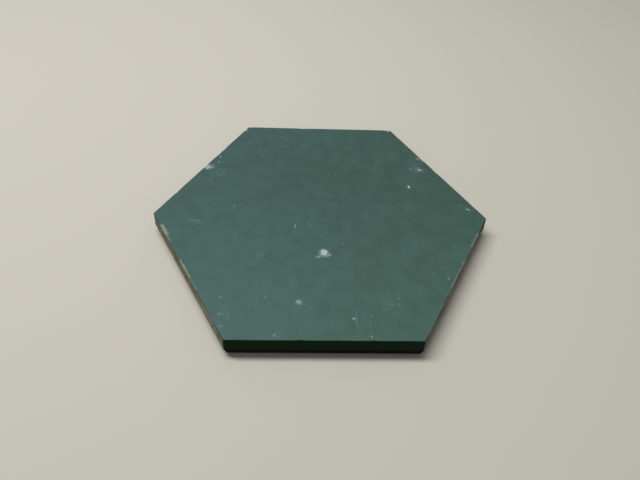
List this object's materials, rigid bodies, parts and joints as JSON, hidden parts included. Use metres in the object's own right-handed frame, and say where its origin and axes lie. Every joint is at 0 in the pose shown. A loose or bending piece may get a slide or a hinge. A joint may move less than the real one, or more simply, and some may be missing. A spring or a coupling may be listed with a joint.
{
  "type": "hexagonal cement wall tile",
  "caption": "Flat hexagonal pressed-cement tile with a coloured show face, upright sides and an undercut back edge, for covering a wall or floor.",
  "frame": {"origin": "centre of the back, the face that beds in adhesive and that the tile lies on", "axes": "+Z out of the show face, +X from corner to corner, +Y from flat side to flat side"},
  "size_m": [0.2304, 0.2, 0.016],
  "materials": {
    "pigmented_cement": "matte"
  },
  "bodies": {
    "root": {"hexagon_tile": "pigmented_cement"}
  },
  "joints": []
}
